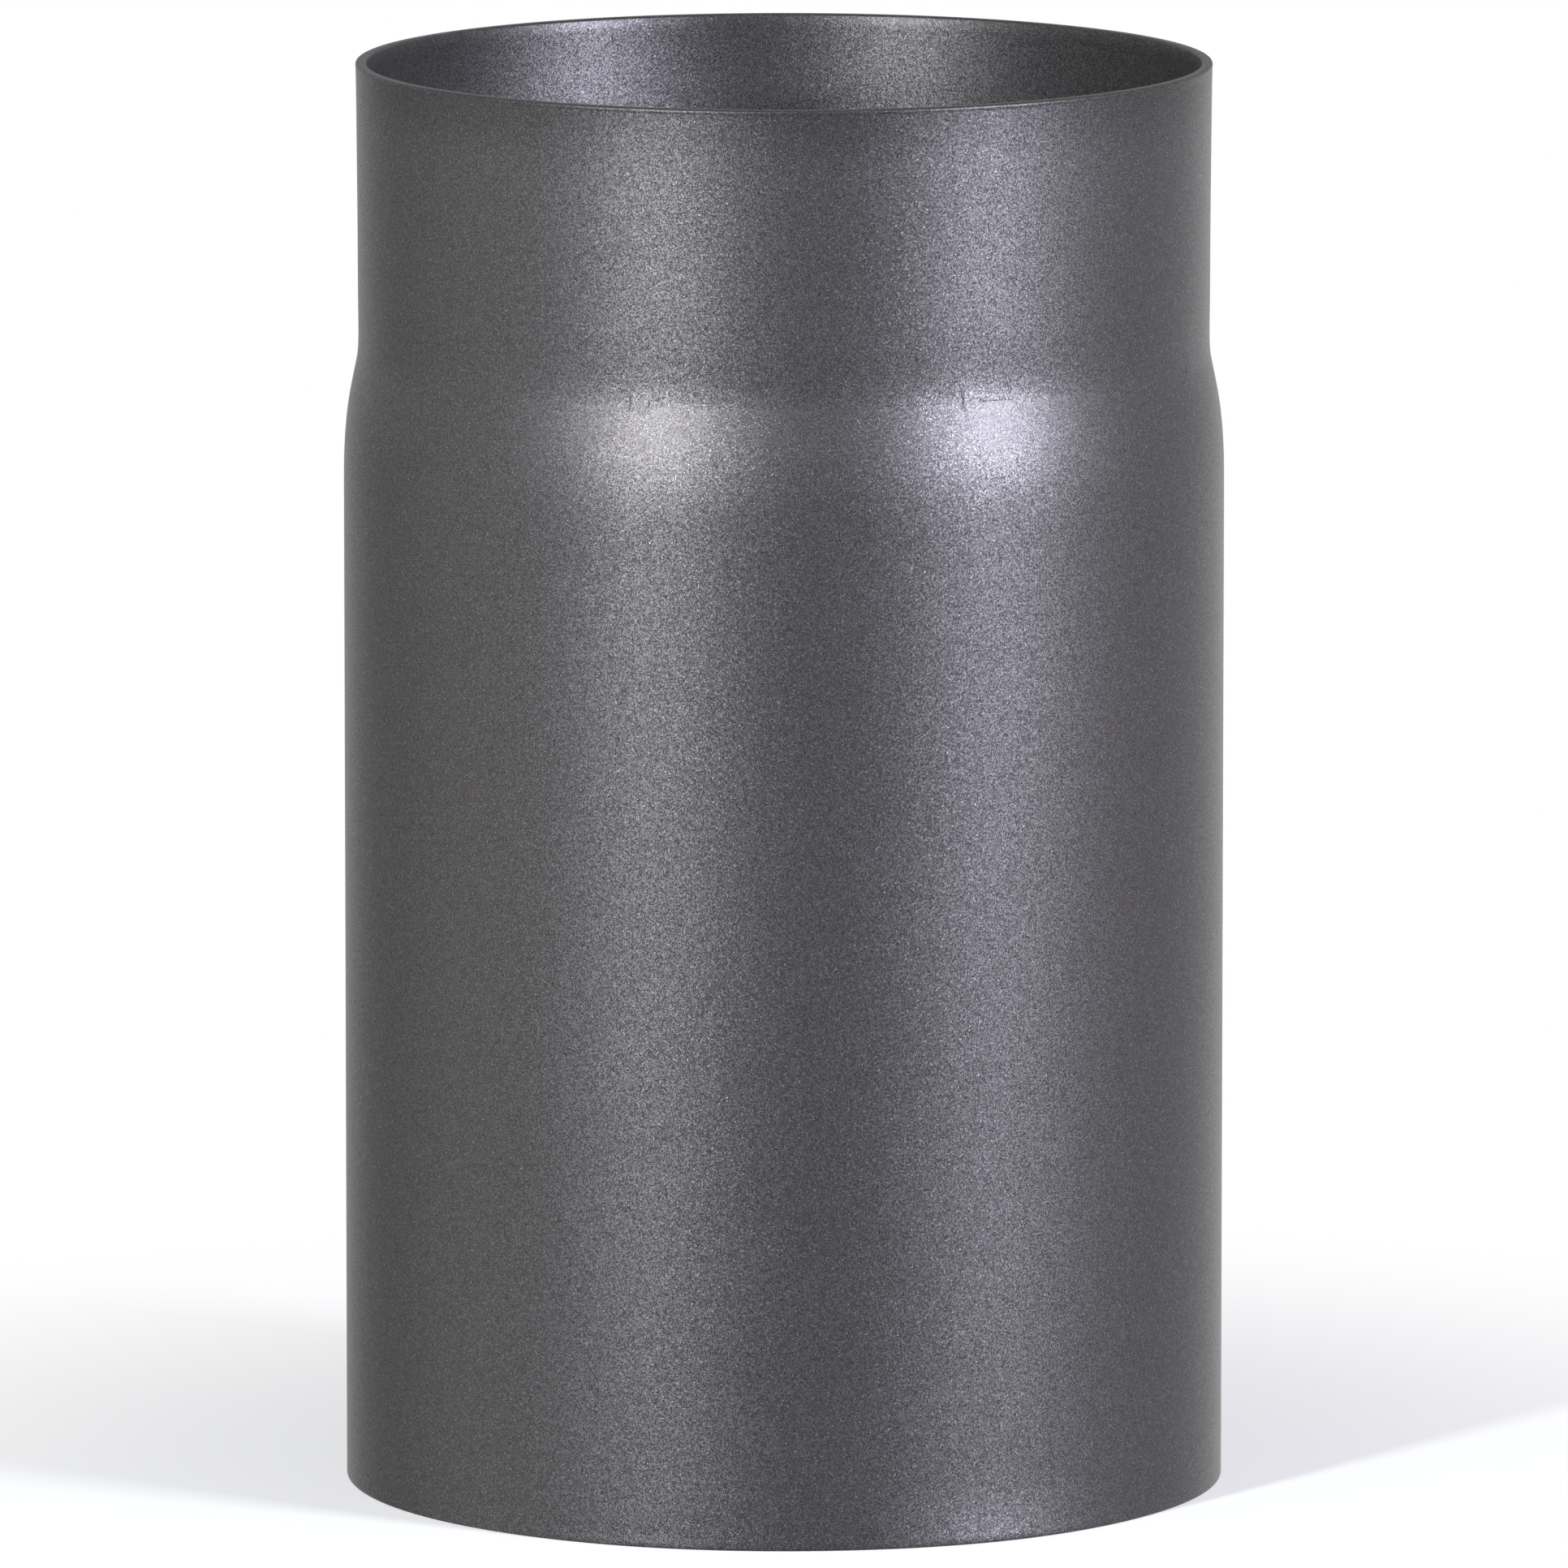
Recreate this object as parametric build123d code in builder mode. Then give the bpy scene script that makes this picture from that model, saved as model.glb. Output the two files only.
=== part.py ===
"""Straight stove pipe in one piece of sheet steel, with a necked-in spigot at its upper end.

The sheet is rolled and welded into a tube. Its lower end is left plain and takes the spigot of the
pipe below it. Its upper end is pressed inwards by a ring of jaws, which leave a waist, a crease where
their lower edge bit, a short cone, and a long soft shoulder down to the body. The rim springs back a
little, so the spigot flares from its waist to its end. Lengths are in millimetres, angles in degrees.
The pipe stands on its plain end: Z runs up its axis, and the origin is the centre of that end.
"""

from build123d import *
import math
import os

os.makedirs("parts", exist_ok=True)

# Sheet and body
bore_diameter = 150.0
wall = 2.0
overall_length = 250.0

# Spigot, which plugs into the bore of the next pipe
spigot_length = 51.0
waist_clearance = 0.6
rim_clearance = 0.28
flare_length = 33.5

# Neck between spigot and body
crease_angle = 5.0
crease_blend_radius = 60.0
cone_length = 8.6
shoulder_angle = 7.0
shoulder_radius = 110.0

# Deburred ends of the sheet: rolled over outside the rim, scraped at the other edges
rim_outer_round = 0.7
rim_inner_chamfer = 0.5
plain_end_chamfer = 0.5
largest_deburr = 0.45 * wall

# Witness marks that the corners of the necking jaws leave on the crease, one pair at each gap
jaw_count = 8
jaw_gap = 3.9
first_gap_angle = -64.6
scar_radius = 0.5
scar_height = 1.6
scar_depth = 0.15

# Radii of the outer face, from the bore that the spigot has to fit
body_radius = bore_diameter / 2 + wall
waist_radius = bore_diameter / 2 - waist_clearance
rim_radius = bore_diameter / 2 - rim_clearance

# Where the two blends of the neck end: each is an arc, upright at one end and leaning at the other
crease_blend_height = crease_blend_radius * math.sin(math.radians(crease_angle))
crease_blend_step = crease_blend_radius * (1 - math.cos(math.radians(crease_angle)))
shoulder_height = shoulder_radius * math.sin(math.radians(shoulder_angle))
shoulder_step = shoulder_radius * (1 - math.cos(math.radians(shoulder_angle)))

# Heights above the plain end
crease_z = overall_length - spigot_length
waist_z = crease_z + crease_blend_height
flare_z = overall_length - flare_length
shoulder_top_z = crease_z - cone_length
shoulder_foot_z = shoulder_top_z - shoulder_height
crease_radius = waist_radius + crease_blend_step


def sheet_face(inset):
    """Draw one face of the sheet from the plain end up to the rim, moved towards the axis by inset."""
    body = body_radius - inset
    waist = waist_radius - inset
    Line((body, 0), (body, shoulder_foot_z))
    shoulder = RadiusArc(
        (body, shoulder_foot_z),
        (body - shoulder_step, shoulder_top_z),
        -shoulder_radius,
    )
    cone = Line(shoulder @ 1, (waist + crease_blend_step, crease_z))
    crease_blend = RadiusArc(cone @ 1, (waist, waist_z), crease_blend_radius)
    spigot_waist = Line(crease_blend @ 1, (waist, flare_z))
    return Line(spigot_waist @ 1, (rim_radius - inset, overall_length))


# Pipe: the section of the sheet, turned about the axis
with BuildPart() as stove_pipe:
    with BuildSketch(Plane.XZ) as sheet_section:
        with BuildLine():
            outer_flare = sheet_face(0)
            inner_flare = sheet_face(wall)
            Line((body_radius - wall, 0), (body_radius, 0))
            Line(inner_flare @ 1, outer_flare @ 1)
        make_face()
        plain_end_corners = sheet_section.vertices().group_by(Axis.Y)[0]
        chamfer(plain_end_corners, min(plain_end_chamfer, largest_deburr))
        rim_inner_corner = sheet_section.vertices().group_by(Axis.Y)[-1].sort_by(Axis.X)[0]
        chamfer(rim_inner_corner, min(rim_inner_chamfer, largest_deburr))
        rim_outer_corner = sheet_section.vertices().group_by(Axis.Y)[-1].sort_by(Axis.X)[-1]
        fillet(rim_outer_corner, min(rim_outer_round, largest_deburr))
    revolve(axis=Axis.Z)

    # Two upright scars beside each gap between the jaws, sunk into the crease
    half_gap_angle = math.degrees(jaw_gap / 2 / crease_radius)
    for side in (-1, 1):
        with Locations((0, 0, crease_z)):
            with PolarLocations(
                crease_radius + scar_radius - scar_depth,
                jaw_count,
                start_angle=first_gap_angle + side * half_gap_angle,
            ):
                Cylinder(scar_radius, scar_height, mode=Mode.SUBTRACT)

stove_pipe.part.label = "stove_pipe"
export_step(stove_pipe.part, "parts/stove_pipe.step")
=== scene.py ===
"""Looks of a straight stove pipe: sheet steel in cast-grey metallic paint, with a necked-in spigot.

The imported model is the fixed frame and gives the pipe's radius and length. One closed surface of
revolution stands for its sheet. It adds what the real tools left on the metal: the spring-back of the
spigot, the bite of the necking jaws, the lip that deburring raised on the rim, and the flare that the
cut left in two places on the plain end. Lengths are in metres, written as millimetres times MM.
Angles round the pipe are in degrees from the side that faces the camera, and grow towards +X.
"""

import logging
from dataclasses import dataclass, field

import bpy
import numpy as np
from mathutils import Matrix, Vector


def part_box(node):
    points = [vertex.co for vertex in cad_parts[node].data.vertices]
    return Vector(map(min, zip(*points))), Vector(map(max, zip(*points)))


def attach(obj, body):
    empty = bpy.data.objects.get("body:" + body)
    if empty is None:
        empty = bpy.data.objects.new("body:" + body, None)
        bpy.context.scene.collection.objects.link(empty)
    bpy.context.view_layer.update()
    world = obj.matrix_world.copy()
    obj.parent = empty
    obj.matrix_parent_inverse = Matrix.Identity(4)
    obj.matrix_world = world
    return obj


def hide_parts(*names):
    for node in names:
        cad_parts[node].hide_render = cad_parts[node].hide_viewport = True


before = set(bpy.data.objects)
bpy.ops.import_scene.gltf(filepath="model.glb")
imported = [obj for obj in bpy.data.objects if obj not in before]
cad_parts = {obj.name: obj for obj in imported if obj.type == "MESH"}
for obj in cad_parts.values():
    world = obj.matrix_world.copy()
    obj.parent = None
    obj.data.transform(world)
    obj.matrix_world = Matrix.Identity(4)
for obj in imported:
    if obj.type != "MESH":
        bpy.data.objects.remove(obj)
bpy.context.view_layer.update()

MM = 0.001
NODE = "stove_pipe"
log = logging.getLogger("stove_pipe_looks")


def softened_ramp(distance: np.ndarray, blend: np.ndarray | float) -> np.ndarray:
    """Give a ramp that is 0 below its knee and rises at slope 1 above it, with the knee rounded.

    The formula is blend * ln(1 + exp(distance / blend)), which is the ramp itself away from the knee.

    Args:
        distance: How far each point lies above the knee.
        blend: Length over which the knee is rounded.

    Returns:
        The ramp's height at each point.
    """
    return blend * np.logaddexp(0.0, distance / blend)


def soft_step(value: np.ndarray) -> np.ndarray:
    """Rise from 0 to 1 as value goes from 0 to 1, level at both ends: 3 v^2 - 2 v^3."""
    share = np.clip(value, 0.0, 1.0)
    return share * share * (3.0 - 2.0 * share)


def hump(value: np.ndarray) -> np.ndarray:
    """Give a bell of height 1 about 0: exp(-value^2)."""
    return np.exp(-np.square(value))


def turn_from(angle: np.ndarray, centre: float) -> np.ndarray:
    """Give the turn from centre to each angle, in degrees from -180 to 180."""
    return (angle - centre + 180.0) % 360.0 - 180.0


def linear_colour(code: str) -> tuple[float, float, float, float]:
    """Turn an sRGB hex colour into linear red, green and blue, with an alpha of 1.

    Args:
        code: The colour as #RRGGBB.

    Returns:
        The linear colour that Blender's sockets take.
    """
    channels = [int(code[i : i + 2], 16) / 255.0 for i in (1, 3, 5)]
    red, green, blue = [
        c / 12.92 if c <= 0.04045 else ((c + 0.055) / 1.055) ** 2.4 for c in channels
    ]
    return red, green, blue, 1.0


def add_node(
    tree: bpy.types.NodeTree,
    kind: str,
    settings: dict | None = None,
    inputs: dict | None = None,
) -> bpy.types.Node:
    """Add one node with its settings and its inputs.

    Args:
        tree: The node tree that takes the node.
        kind: Blender's name of the node type.
        settings: Attributes of the node itself, by name.
        inputs: Values or output sockets for the node's inputs, by name or number.

    Returns:
        The new node.
    """
    node = tree.nodes.new(kind)
    for name, value in (settings or {}).items():
        setattr(node, name, value)
    for name, value in (inputs or {}).items():
        if isinstance(value, bpy.types.NodeSocket):
            tree.links.new(value, node.inputs[name])
        else:
            node.inputs[name].default_value = value
    return node


@dataclass(frozen=True)
class Bend:
    """A place where the sheet's section turns.

    Attributes:
        height: Height of the knee above the plain end.
        turn: How far the section turns there, in degrees, positive towards the axis.
        blend: Length over which the knee is rounded.
    """

    height: float
    turn: float
    blend: float

    def inset(self, height: np.ndarray, softer: np.ndarray | float = 0.0) -> np.ndarray:
        """Give how far this bend has moved the sheet towards the axis at each height.

        Args:
            height: Heights above the plain end.
            softer: Length to add to the blend, which leaves the sheet unmoved away from the knee.

        Returns:
            The tangent of the turn times the softened ramp.
        """
        return np.tan(np.radians(self.turn)) * softened_ramp(height - self.height, self.blend + softer)


@dataclass(frozen=True)
class NeckingJaws:
    """The ring of jaws that presses the spigot in, and the marks that it leaves on the crease.

    A jaw's lower edge bites a sharp crease. Between two jaws the metal stays free, so the neck runs
    on a little higher there and the crease is soft, and the corners of both jaws leave an upright
    scar beside the gap.
    """

    count: int = 8
    first_gap: float = 25.6
    gap_width: float = 3.8 * MM
    gap_fade: float = 1.4 * MM
    free_lift: float = 0.42 * MM
    free_softness: float = 0.6 * MM
    free_low: float = 196.8 * MM
    free_high: float = 204.0 * MM
    free_ends: float = 2.4 * MM
    dip_angle: float = 32.0
    dip_reach: float = 46.0
    dip_height: float = 203.5 * MM
    dip_length: float = 4.0 * MM
    dip_depth: float = 0.04 * MM
    scar_width: float = 0.2 * MM
    scar_depth: float = 0.045 * MM
    scar_low: float = 198.4 * MM
    left_scar_high: float = 199.9 * MM
    right_scar_high: float = 199.1 * MM
    bite_height: float = 198.65 * MM
    bite_width: float = 0.16 * MM
    bite_depth: float = 0.035 * MM
    bite_length: float = 8.0 * MM
    bite_angle: float = 30.0
    bite_spread: float = 20.0

    def pitch(self) -> float:
        """Give the angle from one gap to the next, in degrees."""
        return 360.0 / self.count

    def gap_centres(self) -> np.ndarray:
        """Give the angle of each gap, in degrees."""
        return self.first_gap + self.pitch() * np.arange(self.count)

    def from_gap(self, angle: np.ndarray, radius: float) -> np.ndarray:
        """Give the signed arc length from the nearest gap's centre to each angle."""
        half = self.pitch() / 2.0
        turn = (angle - self.first_gap + half) % self.pitch() - half
        return np.radians(turn) * radius

    def freedom(self, angle: np.ndarray, radius: float) -> np.ndarray:
        """Give 1 in the gaps and 0 where a jaw pressed the metal, fading over gap_fade."""
        inside = self.gap_width / 2.0 - np.abs(self.from_gap(angle, radius))
        return soft_step(inside / self.gap_fade + 0.5)

    def lift(self, angle: np.ndarray, height: np.ndarray, radius: float) -> np.ndarray:
        """Give how much higher the neck runs in the gaps: a soft step up and a soft step down."""
        rise = soft_step((height - self.free_low) / self.free_ends)
        fall = soft_step((self.free_high - height) / self.free_ends)
        return self.free_lift * self.freedom(angle, radius) * rise * fall

    def scars(self, angle: np.ndarray, height: np.ndarray, radius: float) -> np.ndarray:
        """Give the depth of the scars: a narrow bell across, level between its ends upwards."""
        arc = self.from_gap(angle, radius)
        across = hump((np.abs(arc) - self.gap_width / 2.0) / self.scar_width)
        top = np.where(arc < 0.0, self.left_scar_high, self.right_scar_high)
        rise = soft_step((height - self.scar_low) / (0.3 * MM) + 0.5)
        fall = soft_step((top - height) / (0.4 * MM) + 0.5)
        return self.scar_depth * across * rise * fall

    def bite(self, angle: np.ndarray, height: np.ndarray, radius: float) -> np.ndarray:
        """Give the depth of the line that a jaw's edge cut, which fades away from the gap."""
        past_gap = self.from_gap(angle, radius) - self.gap_width / 2.0
        along = soft_step(past_gap / (0.5 * MM)) * soft_step(2.0 * (1.0 - past_gap / self.bite_length))
        deepest = hump(turn_from(angle, self.bite_angle) / self.bite_spread)
        return self.bite_depth * deepest * along * hump((height - self.bite_height) / self.bite_width)

    def dip(self, angle: np.ndarray, height: np.ndarray) -> np.ndarray:
        """Give the depth of the shallow dip above the crease, where the jaws closed tightest."""
        across = soft_step(1.0 - np.abs(turn_from(angle, self.dip_angle)) / self.dip_reach)
        return self.dip_depth * across * hump((height - self.dip_height) / self.dip_length)


@dataclass(frozen=True)
class CutFlare:
    """A place where the saw left the edge of the plain end flared outwards.

    Attributes:
        angle: Angle of the flare's middle round the pipe.
        reach: Half of the angle that the flare takes up.
        height: How far up the flare begins.
        depth: How far the edge stands out at the flare's middle.
    """

    angle: float
    reach: float
    height: float
    depth: float

    def out(self, angle: np.ndarray, height: np.ndarray) -> np.ndarray:
        """Give the flare outwards: a parabola upwards, and a soft step to each side."""
        across = soft_step(1.0 - np.abs(turn_from(angle, self.angle)) / self.reach)
        return self.depth * across * np.square(np.clip(1.0 - height / self.height, 0.0, 1.0))


@dataclass(frozen=True)
class Rim:
    """The upper end of the spigot: a deburred lip outside and a relieved edge inside."""

    outer_round: float = 0.45 * MM
    inner_round: float = 0.5 * MM
    lip_height: float = 0.75 * MM
    lip_proud: float = 0.04 * MM
    relief_height: float = 2.3 * MM
    relief: float = 0.22 * MM

    def lip(self, from_top: np.ndarray) -> np.ndarray:
        """Give how far the lip stands proud at each distance below the rim's top."""
        return self.lip_proud * soft_step((self.lip_height - from_top) / (0.25 * MM) + 0.5)

    def relief_at(self, from_top: np.ndarray) -> np.ndarray:
        """Give how far the inner edge falls back: a parabola over relief_height."""
        return self.relief * np.square(np.clip(1.0 - from_top / self.relief_height, 0.0, 1.0))


@dataclass
class StovePipe:
    """The pipe itself: one closed surface of revolution, from the plain end up to the rim and back.

    The bends are those of the outer face, from the shoulder's foot up to the rim. Each is a rounded
    knee, and the radius at a height is the body's radius less what the bends below have taken off.
    """

    radius: float
    length: float
    wall: float = 2.0 * MM
    end_round: float = 0.4 * MM
    bends: tuple[Bend, ...] = (
        Bend(180.8 * MM, 2.6, 1.45 * MM),
        Bend(185.5 * MM, 3.9, 1.6 * MM),
        Bend(190.9 * MM, 5.6, 1.5 * MM),
        Bend(199.7 * MM, -7.3, 1.0 * MM),
        Bend(202.4 * MM, -1.2, 0.6 * MM),
        Bend(209.5 * MM, 0.5, 1.0 * MM),
        Bend(222.0 * MM, -0.35, 3.0 * MM),
        Bend(245.5 * MM, -0.7, 1.5 * MM),
    )
    crease: Bend = Bend(198.5 * MM, -4.2, 0.09 * MM)
    flares: tuple[CutFlare, ...] = (
        CutFlare(29.0, 28.0, 11.0 * MM, 0.50 * MM),
        CutFlare(-22.0, 20.0, 2.2 * MM, 0.08 * MM),
    )
    jaws: NeckingJaws = field(default_factory=NeckingJaws)
    rim: Rim = field(default_factory=Rim)
    round_steps: int = 6
    even_columns: int = 240
    columns_at_gap: int = 44
    gap_reach: float = 3.0 * MM

    def inset(self, angle: np.ndarray, height: np.ndarray, softer: float = 0.0) -> np.ndarray:
        """Give how far the neck has moved the sheet towards the axis.

        Args:
            angle: Angles round the pipe, in degrees.
            height: Heights above the plain end.
            softer: Length to add to the crease's blend everywhere.

        Returns:
            The sum of the bends and the crease, read lower by the jaws' lift in the gaps, and the dip.
        """
        read_at = height - self.jaws.lift(angle, height, self.radius)
        soft = softer + self.jaws.free_softness * self.jaws.freedom(angle, self.radius)
        dip = self.jaws.dip(angle, height)
        return dip + sum(bend.inset(read_at) for bend in self.bends) + self.crease.inset(read_at, soft)

    def outer_radius(self, angle: np.ndarray, height: np.ndarray) -> np.ndarray:
        """Give the radius of the outer face, before the rim and the end are rounded.

        Args:
            angle: Angles round the pipe, in degrees.
            height: Heights above the plain end.

        Returns:
            The body's radius, less the neck's inset, the scars and the bite, plus the flares and lip.
        """
        marks = self.jaws.scars(angle, height, self.radius) + self.jaws.bite(angle, height, self.radius)
        proud = sum(flare.out(angle, height) for flare in self.flares) + self.rim.lip(self.length - height)
        return self.radius - self.inset(angle, height) - marks + proud

    def inner_radius(self, angle: np.ndarray, height: np.ndarray) -> np.ndarray:
        """Give the radius of the inner face, which follows the neck one wall further in."""
        inset = self.inset(angle, height, softer=self.wall / 2.0)
        flares = sum(flare.out(angle, height) for flare in self.flares)
        return self.radius - self.wall - inset + flares + self.rim.relief_at(self.length - height)

    def outer_heights(self) -> np.ndarray:
        """Give the heights of the outer rows, close together where the section bends."""
        stretches = (
            (self.end_round, 12.0 * MM, 12),
            (12.0 * MM, 174.0 * MM, 10),
            (174.0 * MM, 190.0 * MM, 16),
            (190.0 * MM, 197.6 * MM, 11),
            (197.6 * MM, 200.4 * MM, 28),
            (200.4 * MM, 210.0 * MM, 14),
            (210.0 * MM, 248.4 * MM, 12),
            (248.4 * MM, self.length - self.rim.outer_round, 7),
        )
        rows = [np.linspace(low, high, steps, endpoint=False) for low, high, steps in stretches]
        return np.concatenate(rows)

    def inner_heights(self) -> np.ndarray:
        """Give the heights of the inner rows, from the rim down to the plain end."""
        stretches = (
            (self.length - self.rim.inner_round, 247.5 * MM, 7),
            (247.5 * MM, 204.0 * MM, 8),
            (204.0 * MM, 176.0 * MM, 14),
            (176.0 * MM, 12.0 * MM, 6),
            (12.0 * MM, self.end_round, 6),
        )
        rows = [np.linspace(high, low, steps, endpoint=False) for high, low, steps in stretches]
        return np.concatenate(rows)

    def columns(self) -> np.ndarray:
        """Give the angles of the columns, in degrees: even ones, and more of them beside each gap."""
        reach = np.degrees(self.gap_reach / self.radius)
        near = np.linspace(-reach, reach, self.columns_at_gap)
        close = (self.jaws.gap_centres()[:, None] + near[None, :]).ravel()
        even = np.arange(self.even_columns) * 360.0 / self.even_columns
        clear = np.abs(self.jaws.from_gap(even, self.radius)) > self.gap_reach + 0.3 * MM
        return np.sort(np.concatenate([even[clear], close]) % 360.0)

    def corner(self, start: float, stop: float) -> tuple[np.ndarray, np.ndarray]:
        """Give the sine and cosine of a rounded corner's steps, from start to stop in degrees."""
        turn = np.radians(np.linspace(start, stop, self.round_steps, endpoint=False))
        return np.sin(turn), np.cos(turn)

    def section(self, angle: np.ndarray) -> tuple[np.ndarray, np.ndarray]:
        """Give the closed section at each angle, once round the sheet.

        It runs up the outer face, over the rim, down the inner face and back across the plain end.
        The four corners are quarter circles, and the faces between them are outer_radius and
        inner_radius.

        Args:
            angle: Angles round the pipe as a column, one row of the grid each.

        Returns:
            Radius and height, each with one row per angle and one column per point of the section.
        """
        rim = self.rim
        outer_rows = self.outer_heights()[None, :]
        inner_rows = self.inner_heights()[None, :]
        top = self.length
        parts: list[tuple[np.ndarray, np.ndarray]] = []

        sine, cosine = self.corner(-90.0, 0.0)
        foot = self.outer_radius(angle, np.full((1, 1), self.end_round))
        parts.append((foot - self.end_round * (1.0 - cosine), self.end_round * (1.0 + sine)))
        parts.append((self.outer_radius(angle, outer_rows), outer_rows))

        sine, cosine = self.corner(0.0, 90.0)
        shoulder = self.outer_radius(angle, np.full((1, 1), top - rim.outer_round))
        parts.append((shoulder - rim.outer_round * (1.0 - cosine), top - rim.outer_round * (1.0 - sine)))

        cosine, sine = self.corner(0.0, 90.0)
        edge = self.inner_radius(angle, np.full((1, 1), top - rim.inner_round))
        parts.append((edge + rim.inner_round * (1.0 - cosine), top - rim.inner_round * (1.0 - sine)))
        parts.append((self.inner_radius(angle, inner_rows), inner_rows))

        sine, cosine = self.corner(0.0, 90.0)
        heel = self.inner_radius(angle, np.full((1, 1), self.end_round))
        parts.append((heel + self.end_round * (1.0 - cosine), self.end_round * (1.0 - sine)))

        level = np.ones_like(angle)
        radius = np.concatenate([np.broadcast_to(r, (angle.shape[0], r.shape[1])) for r, _ in parts], axis=1)
        height = np.concatenate([np.reshape(z, (1, -1)) * level for _, z in parts], axis=1)
        return radius, height

    def build(self) -> bpy.types.Object:
        """Build the surface as a grid that closes on itself both round the pipe and along the section.

        The point at angle a and section radius r, height z is (r sin a, -r cos a, z).

        Returns:
            The pipe as a mesh object with smooth faces and a UV map in metres.
        """
        angle = self.columns()[:, None]
        radius, height = self.section(angle)
        turn = np.radians(angle)
        points = np.stack([radius * np.sin(turn), -radius * np.cos(turn), height], axis=-1)
        columns, rows = radius.shape

        here = np.arange(columns * rows).reshape(columns, rows)
        beside = np.roll(here, -1, axis=0)
        above = np.roll(here, -1, axis=1)
        across = np.roll(beside, -1, axis=1)
        faces = np.stack([here, beside, across, above], axis=-1).reshape(-1, 4)

        mesh = bpy.data.meshes.new("painted_sheet")
        mesh.from_pydata(points.reshape(-1, 3), [], faces)
        mesh.shade_smooth()
        self.map_surface(mesh, angle, radius, height)
        pipe = bpy.data.objects.new("painted_sheet", mesh)
        bpy.context.scene.collection.objects.link(pipe)
        return pipe

    def map_surface(
        self, mesh: bpy.types.Mesh, angle: np.ndarray, radius: np.ndarray, height: np.ndarray
    ) -> None:
        """Give the mesh a UV map in metres: arc round the body against distance along the section.

        Args:
            mesh: The pipe's mesh, its faces in the order of the grid.
            angle: Angles of the columns, in degrees.
            radius: Radii of the grid's points.
            height: Heights of the grid's points.
        """
        arc = np.radians(np.append(angle[:, 0], angle[0, 0] + 360.0)) * self.radius
        steps = np.hypot(
            np.diff(radius[0], append=radius[0, 0]), np.diff(height[0], append=height[0, 0])
        )
        along = np.concatenate([[0.0], np.cumsum(steps)])
        low_u, high_u = arc[:-1, None], arc[1:, None]
        low_v, high_v = along[None, :-1], along[None, 1:]
        corners = ((low_u, low_v), (high_u, low_v), (high_u, high_v), (low_u, high_v))
        grid = [np.stack(np.broadcast_arrays(u, v), axis=-1) for u, v in corners]
        places = np.stack(grid, axis=2).reshape(-1)
        layer = mesh.uv_layers.new(name="sheet")
        layer.data.foreach_set("uv", places.astype(np.float32))


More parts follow.
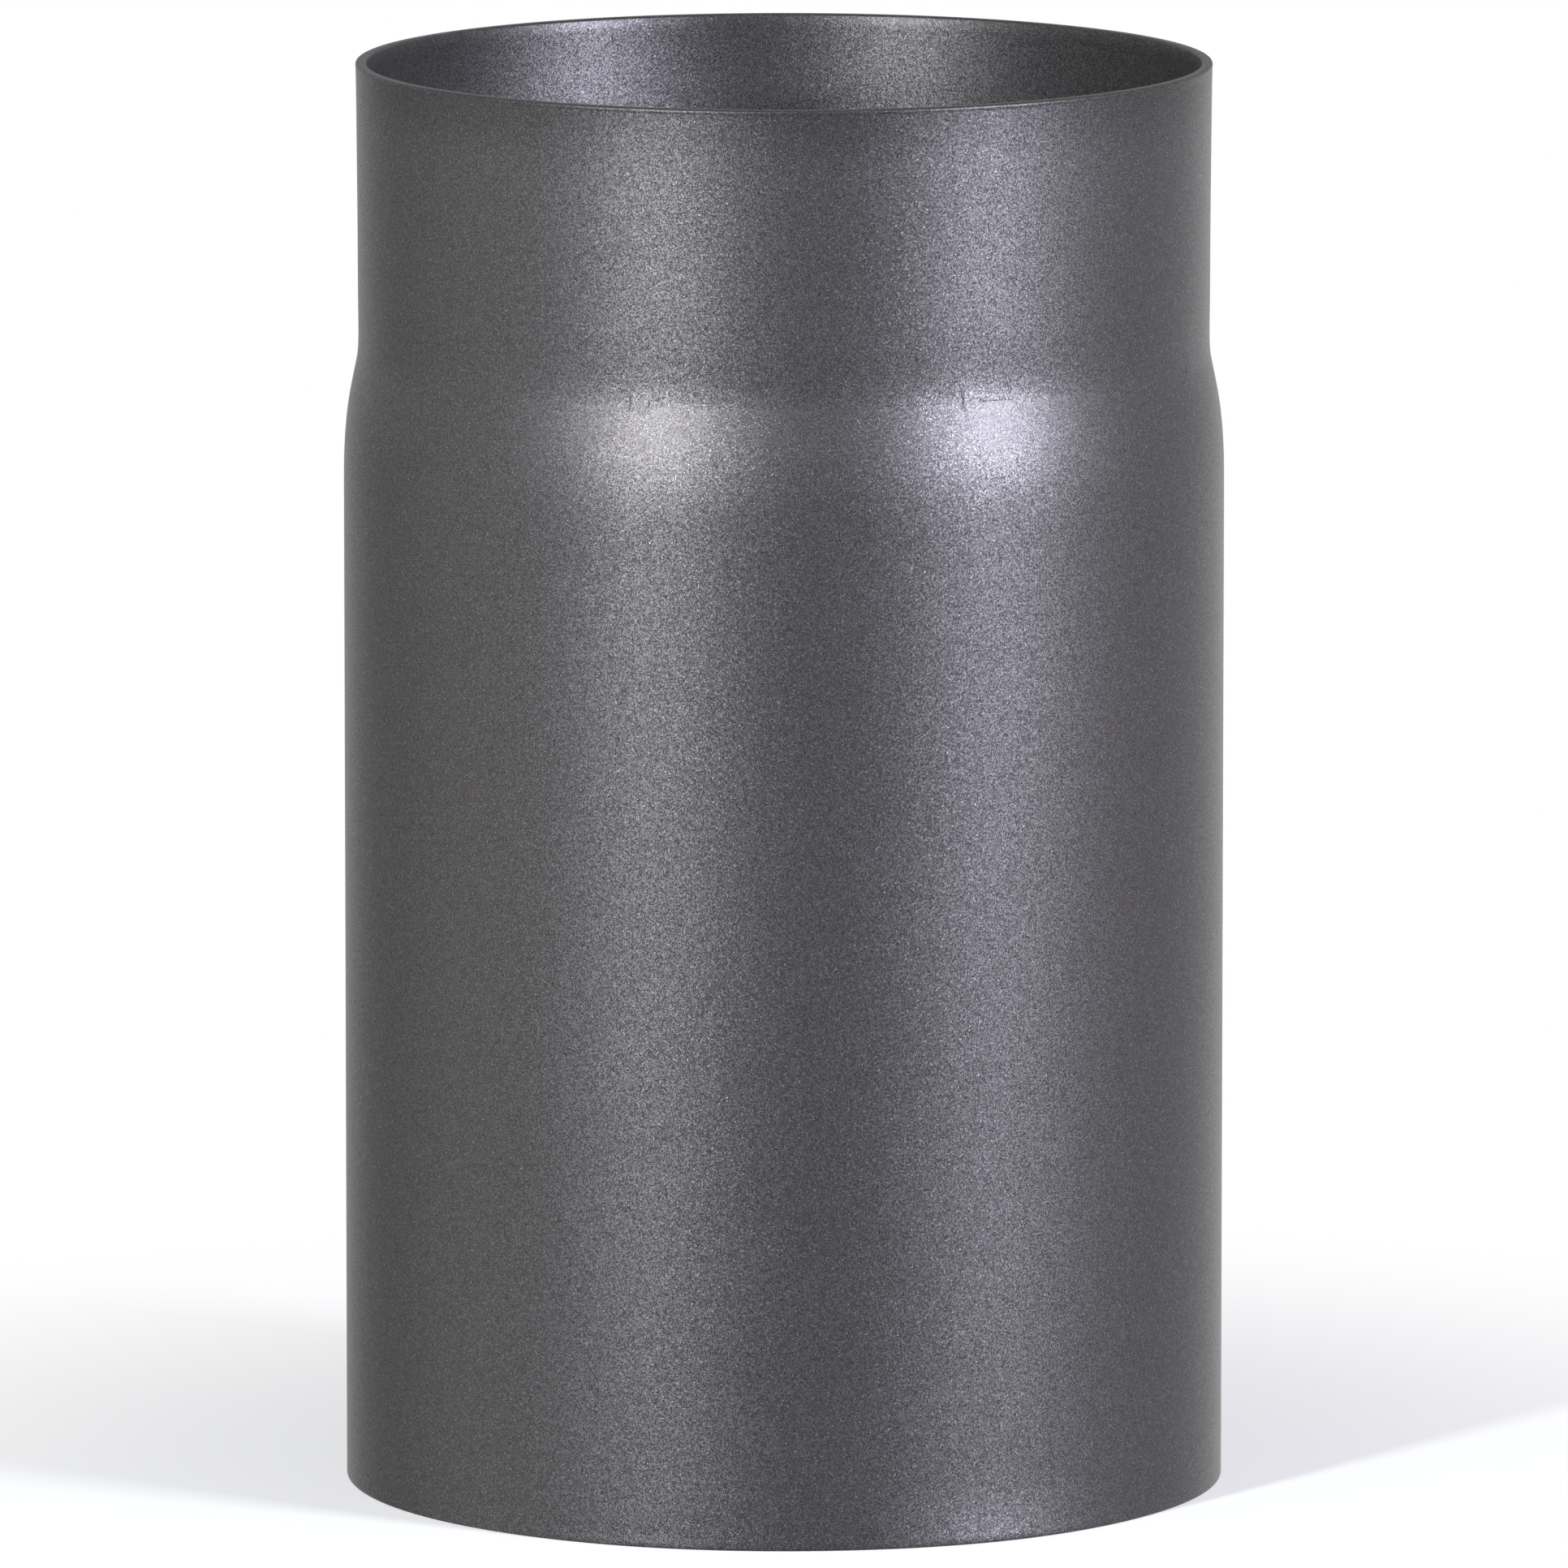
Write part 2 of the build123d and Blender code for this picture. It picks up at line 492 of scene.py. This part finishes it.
@dataclass(frozen=True)
class CastGreyPaint:
    """Heat-resistant stove paint in cast grey, sprayed and baked on bare steel.

    Aluminium and mica flakes lie in a dark silicone binder, each tilted its own way and covered by
    more or less binder. That gives the eye a satin grey with soft highlights that break up into fine
    sparkle. The colour is darker towards the rim.
    """

    deep_flake: str = "#4B4949"
    high_flake: str = "#747172"
    bright_flake: str = "#989697"
    bright_flake_share: float = 0.03
    # The colour is multiplied down to this share at the rim, smoothly between the next two heights.
    rim_darkening: float = 0.78
    darkening_low: float = 237.0 * MM
    darkening_high: float = 250.0 * MM
    metallic: float = 0.81
    roughness: float = 0.43
    flake_size: float = 0.16 * MM
    flake_tilt: float = 0.17
    peel_size: float = 1.3 * MM
    peel_depth: float = 0.002 * MM
    cloud_size: float = 28.0 * MM
    cloud_roughness: float = 0.008

    def material(self) -> bpy.types.Material:
        """Build the paint's material on Object coordinates.

        Returns:
            The material, named for the paint.
        """
        material = bpy.data.materials.new("cast_grey_stove_paint")
        material.use_nodes = True
        tree = material.node_tree
        tree.nodes.clear()
        place = add_node(tree, "ShaderNodeTexCoord").outputs["Object"]
        facing = add_node(tree, "ShaderNodeNewGeometry").outputs["Normal"]

        flakes = add_node(
            tree, "ShaderNodeTexVoronoi", {}, {"Vector": place, "Scale": 1.0 / self.flake_size}
        )
        lean = add_node(
            tree, "ShaderNodeVectorMath", {"operation": "SUBTRACT"},
            {0: flakes.outputs["Color"], 1: (0.5, 0.5, 0.5)},
        )
        tilted = add_node(
            tree, "ShaderNodeVectorMath", {"operation": "SCALE"},
            {0: lean.outputs[0], "Scale": self.flake_tilt},
        )
        summed = add_node(
            tree, "ShaderNodeVectorMath", {"operation": "ADD"}, {0: facing, 1: tilted.outputs[0]}
        )
        normal = add_node(
            tree, "ShaderNodeVectorMath", {"operation": "NORMALIZE"}, {0: summed.outputs[0]}
        )
        peel = add_node(
            tree, "ShaderNodeTexNoise", {}, {"Vector": place, "Scale": 1.0 / self.peel_size, "Detail": 1.0}
        )
        bumped = add_node(
            tree, "ShaderNodeBump", {},
            {
                "Height": peel.outputs[0],
                "Distance": self.peel_depth,
                "Normal": normal.outputs[0],
            },
        )

        chance = add_node(tree, "ShaderNodeSeparateColor", {}, {0: flakes.outputs["Color"]})
        chosen = add_node(
            tree, "ShaderNodeMath", {"operation": "GREATER_THAN"},
            {0: chance.outputs[1], 1: 1.0 - self.bright_flake_share},
        )
        height = add_node(tree, "ShaderNodeSeparateXYZ", {}, {0: place})
        # Darker colour towards the rim: rises from 0 to 1 between the two heights.
        rim_fade = add_node(
            tree, "ShaderNodeMapRange", {"interpolation_type": "SMOOTHSTEP"},
            {"Value": height.outputs["Z"], "From Min": self.darkening_low, "From Max": self.darkening_high},
        )
        shade = add_node(
            tree, "ShaderNodeMix", {"data_type": "RGBA"},
            {
                0: chance.outputs[2],
                6: linear_colour(self.deep_flake),
                7: linear_colour(self.high_flake),
            },
        )
        coat = add_node(
            tree, "ShaderNodeMix", {"data_type": "RGBA"},
            {0: chosen.outputs[0], 6: shade.outputs[2], 7: linear_colour(self.bright_flake)},
        )
        colour = add_node(
            tree, "ShaderNodeMix", {"data_type": "RGBA", "blend_type": "MULTIPLY"},
            {
                0: rim_fade.outputs[0],
                6: coat.outputs[2],
                7: (self.rim_darkening, self.rim_darkening, self.rim_darkening, 1.0),
            },
        )
        cloud = add_node(
            tree, "ShaderNodeTexNoise", {}, {"Vector": place, "Scale": 1.0 / self.cloud_size, "Detail": 2.0}
        )
        roughness = add_node(
            tree, "ShaderNodeMapRange", {},
            {
                "Value": cloud.outputs[0],
                "From Min": 0.3,
                "From Max": 0.7,
                "To Min": self.roughness - self.cloud_roughness,
                "To Max": self.roughness + self.cloud_roughness,
            },
        )
        shader = add_node(
            tree, "ShaderNodeBsdfPrincipled", {},
            {
                "Base Color": colour.outputs[2],
                "Metallic": self.metallic,
                "Roughness": roughness.outputs[0],
                "Normal": bumped.outputs[0],
            },
        )
        add_node(tree, "ShaderNodeOutputMaterial", {}, {"Surface": shader.outputs[0]})
        return material


@dataclass(frozen=True)
class Softbox:
    """A rectangular lamp that looks at the pipe.

    Attributes:
        name: Plain name of the lamp.
        azimuth: Angle round the pipe, in degrees from the camera towards +X.
        elevation: Angle above the floor, in degrees.
        distance: Distance from the pipe's middle.
        width: Width of the lamp.
        height: Height of the lamp.
        light: Brightness that a matt white surface takes on where it faces the lamp at the pipe.
        colour: Colour of its light, as sRGB hex.
    """

    name: str
    azimuth: float
    elevation: float
    distance: float
    width: float
    height: float
    light: float
    colour: str = "#FFFFFF"

    def power(self) -> float:
        """Give the power in watts: light times pi squared times the square of the distance."""
        return self.light * np.square(np.pi * self.distance)

    def hang(self, target: Vector) -> bpy.types.Object:
        """Make the lamp, turned to face the target."""
        lamp = bpy.data.lights.new(self.name, "AREA")
        lamp.shape = "RECTANGLE"
        lamp.size = self.width
        lamp.size_y = self.height
        lamp.energy = self.power()
        lamp.color = linear_colour(self.colour)[:3]
        turn, rise = np.radians(self.azimuth), np.radians(self.elevation)
        away = Vector((np.sin(turn) * np.cos(rise), -np.cos(turn) * np.cos(rise), np.sin(rise)))
        stand = bpy.data.objects.new(self.name, lamp)
        stand.location = target + away * self.distance
        stand.rotation_euler = away.to_track_quat("Z", "Y").to_euler()
        bpy.context.scene.collection.objects.link(stand)
        return stand


@dataclass
class Studio:
    """A white room: a pale floor that keeps the shadow, soft lamps and a white surround.

    Attributes:
        floor_size: Side of the floor.
        floor_colour: Colour of the floor, as sRGB hex.
        floor_glow: Light that the floor adds of its own, so that it shows white in the open.
        floor_near: Distance from the pipe's axis at which the floor begins to fade into plain white.
        floor_far: Distance at which it is plain white.
        fill: Brightness of the surround for matt surfaces.
        below_horizon: Brightness of the surround for glossy surfaces below the pipe's horizon, as
            pairs of azimuth and brightness, from behind the pipe over its left side to behind it.
        above_horizon: The same above the horizon.
        ceiling: Brightness of the surround for glossy surfaces overhead.
        lamps: The softboxes.
    """

    floor_size: float = 8.0
    floor_colour: str = "#F4F4F4"
    floor_glow: float = 0.36
    floor_near: float = 0.08
    floor_far: float = 0.27
    fill: float = 0.25
    below_horizon: tuple[tuple[float, float], ...] = (
        (-180.0, 1.15),
        (-157.5, 0.86),
        (-135.0, 0.09),
        (-90.0, 0.70),
        (-45.0, 0.03),
        (0.0, 0.03),
        (45.0, 0.10),
        (90.0, 0.36),
        (135.0, 0.48),
        (157.5, 1.25),
        (180.0, 1.15),
    )
    above_horizon: tuple[tuple[float, float], ...] = (
        (-180.0, 0.55),
        (-120.0, 0.50),
        (-60.0, 0.55),
        (0.0, 0.03),
        (60.0, 0.03),
        (120.0, 0.52),
        (180.0, 0.55),
    )
    ceiling: float = 0.45
    lamps: tuple[Softbox, ...] = (
        Softbox("key_right", 55.4, 13.4, 2.5, 0.45, 0.13, 1.02, "#EBEDFF"),
        Softbox("key_left", -33.65, 16.2, 2.2, 0.15, 0.9, 0.83, "#F6F9FF"),
    )

    def build(self, target: Vector) -> None:
        """Lay the floor, hang the lamps about the target and set the surround."""
        self.lay_floor()
        for lamp in self.lamps:
            lamp.hang(target)
        self.surround_world()

    def ring(
        self,
        tree: bpy.types.NodeTree,
        share: bpy.types.NodeSocket,
        stops: tuple[tuple[float, float], ...],
    ) -> bpy.types.NodeSocket:
        """Give the brightness round one ring of the surround, linear between its stops.

        Args:
            tree: The node tree of the world.
            share: Share of the full turn, 0 and 1 behind the pipe.
            stops: Pairs of azimuth in degrees and brightness.

        Returns:
            The socket that holds the brightness.
        """
        steps = add_node(tree, "ShaderNodeValToRGB", {}, {0: share})
        elements = steps.color_ramp.elements
        for azimuth, _ in stops[1:-1]:
            elements.new(azimuth / 360.0 + 0.5)
        for element, (_, value) in zip(elements, stops):
            element.color = (value, value, value, 1.0)
        return steps.outputs["Color"]

    def room_brightness(
        self, tree: bpy.types.NodeTree, way: bpy.types.NodeSocket
    ) -> bpy.types.NodeSocket:
        """Give the surround's brightness for glossy surfaces, by azimuth and height above the horizon.

        Args:
            tree: The node tree of the world.
            way: Direction from the pipe.

        Returns:
            The socket that holds the brightness.
        """
        parts = add_node(tree, "ShaderNodeSeparateXYZ", {}, {0: way})
        ahead = add_node(
            tree, "ShaderNodeMath", {"operation": "MULTIPLY"}, {0: parts.outputs["Y"], 1: -1.0}
        )
        azimuth = add_node(
            tree, "ShaderNodeMath", {"operation": "ARCTAN2"}, {0: parts.outputs["X"], 1: ahead.outputs[0]}
        )
        share = add_node(
            tree, "ShaderNodeMapRange", {},
            {"Value": azimuth.outputs[0], "From Min": -np.pi, "From Max": np.pi},
        )
        rising = add_node(
            tree, "ShaderNodeMapRange", {"interpolation_type": "SMOOTHSTEP"},
            {"Value": parts.outputs["Z"], "From Min": -0.03, "From Max": 0.03},
        )
        overhead = add_node(
            tree, "ShaderNodeMapRange", {},
            {"Value": parts.outputs["Z"], "From Min": 0.6, "From Max": 0.85},
        )
        walls = add_node(
            tree, "ShaderNodeMix", {"data_type": "RGBA"},
            {
                0: rising.outputs[0],
                6: self.ring(tree, share.outputs[0], self.below_horizon),
                7: self.ring(tree, share.outputs[0], self.above_horizon),
            },
        )
        room = add_node(
            tree, "ShaderNodeMix", {"data_type": "RGBA"},
            {
                0: overhead.outputs[0],
                6: walls.outputs[2],
                7: (self.ceiling, self.ceiling, self.ceiling, 1.0),
            },
        )
        return room.outputs[2]

    def seen_in_gloss(self, tree: bpy.types.NodeTree) -> bpy.types.NodeSocket:
        """Give 1 to glossy and transmission rays, and 0 to all others."""
        path = add_node(tree, "ShaderNodeLightPath")
        either = add_node(
            tree, "ShaderNodeMath", {"operation": "MAXIMUM"},
            {0: path.outputs["Is Glossy Ray"], 1: path.outputs["Is Transmission Ray"]},
        )
        return either.outputs[0]

    def lay_floor(self) -> bpy.types.Object:
        """Lay the floor: matt white with the pipe's shadow, and clear in reflections.

        A glossy ray passes the floor and sees the surround below it, which shines as the floor would.

        Returns:
            The floor.
        """
        half = self.floor_size / 2.0
        mesh = bpy.data.meshes.new("studio_floor")
        corners = [(-half, -half, 0.0), (half, -half, 0.0), (half, half, 0.0), (-half, half, 0.0)]
        mesh.from_pydata(corners, [], [(0, 1, 2, 3)])
        floor = bpy.data.objects.new("studio_floor", mesh)
        bpy.context.scene.collection.objects.link(floor)
        material = bpy.data.materials.new("matt_white_floor")
        material.use_nodes = True
        tree = material.node_tree
        tree.nodes.clear()
        matt = add_node(
            tree, "ShaderNodeBsdfDiffuse", {}, {"Color": linear_colour(self.floor_colour)}
        )
        glow = add_node(tree, "ShaderNodeEmission", {}, {"Strength": self.floor_glow})
        lit = add_node(tree, "ShaderNodeAddShader", {}, {0: matt.outputs[0], 1: glow.outputs[0]})
        place = add_node(tree, "ShaderNodeTexCoord").outputs["Object"]
        away = add_node(tree, "ShaderNodeVectorMath", {"operation": "LENGTH"}, {0: place})
        fading = add_node(
            tree, "ShaderNodeMapRange", {"interpolation_type": "SMOOTHSTEP"},
            {"Value": away.outputs["Value"], "From Min": self.floor_near, "From Max": self.floor_far},
        )
        plain = add_node(tree, "ShaderNodeEmission", {}, {"Strength": 1.0})
        shown = add_node(
            tree, "ShaderNodeMixShader", {}, {0: fading.outputs[0], 1: lit.outputs[0], 2: plain.outputs[0]}
        )
        clear = add_node(tree, "ShaderNodeBsdfTransparent")
        both = add_node(
            tree, "ShaderNodeMixShader", {},
            {0: self.seen_in_gloss(tree), 1: shown.outputs[0], 2: clear.outputs[0]},
        )
        add_node(tree, "ShaderNodeOutputMaterial", {}, {"Surface": both.outputs[0]})
        mesh.materials.append(material)
        return floor

    def surround_world(self) -> None:
        """Set the world: white to the camera, the room in reflections and a soft fill elsewhere."""
        world = bpy.data.worlds.new("white_room")
        bpy.context.scene.world = world
        world.use_nodes = True
        tree = world.node_tree
        tree.nodes.clear()
        way = add_node(tree, "ShaderNodeTexCoord").outputs["Generated"]
        matt = add_node(
            tree, "ShaderNodeMix", {"data_type": "RGBA"},
            {
                0: self.seen_in_gloss(tree),
                6: (self.fill, self.fill, self.fill, 1.0),
                7: self.room_brightness(tree, way),
            },
        )
        path = add_node(tree, "ShaderNodeLightPath")
        colour = add_node(
            tree, "ShaderNodeMix", {"data_type": "RGBA"},
            {0: path.outputs["Is Camera Ray"], 6: matt.outputs[2], 7: (1.0, 1.0, 1.0, 1.0)},
        )
        shader = add_node(tree, "ShaderNodeBackground", {}, {"Color": colour.outputs[2]})
        add_node(tree, "ShaderNodeOutputWorld", {}, {"Surface": shader.outputs[0]})


@dataclass(frozen=True)
class PhotoCamera:
    """The camera at the photograph's viewing angle: far away with a long lens, looking slightly down."""

    distance: float = 3.5873
    down: float = 8.583
    aim_height: float = 122.37 * MM
    lens: float = 469.60
    sensor: float = 36.0

    def place(self) -> bpy.types.Object:
        """Make the camera the scene's own and turn it towards the pipe's axis."""
        camera = bpy.data.cameras.new("photo_camera")
        camera.sensor_fit = "HORIZONTAL"
        camera.sensor_width = self.sensor
        camera.lens = self.lens
        camera.clip_end = 100.0
        stand = bpy.data.objects.new("photo_camera", camera)
        pitch = np.radians(self.down)
        stand.location = (
            0.0,
            -self.distance * np.cos(pitch),
            self.aim_height + self.distance * np.sin(pitch),
        )
        stand.rotation_euler = (np.radians(90.0 - self.down), 0.0, 0.0)
        bpy.context.scene.collection.objects.link(stand)
        bpy.context.scene.camera = stand
        return stand


def main() -> None:
    """Build the camera, the pipe with its paint, and the studio."""
    logging.basicConfig(level=logging.INFO, format="%(name)s: %(message)s")
    bpy.context.scene.view_settings.view_transform = "Standard"
    PhotoCamera().place()

    low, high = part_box(NODE)
    pipe = StovePipe(radius=high.x, length=high.z)
    sheet = pipe.build()
    sheet.data.materials.append(CastGreyPaint().material())
    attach(sheet, "root")
    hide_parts(NODE)
    log.info("%s: %d faces", sheet.name, len(sheet.data.polygons))

    Studio().build(Vector((0.0, 0.0, (low.z + high.z) / 2.0)))
    log.info("studio: floor, lamps and surround")


if __name__ == "__main__":
    main()
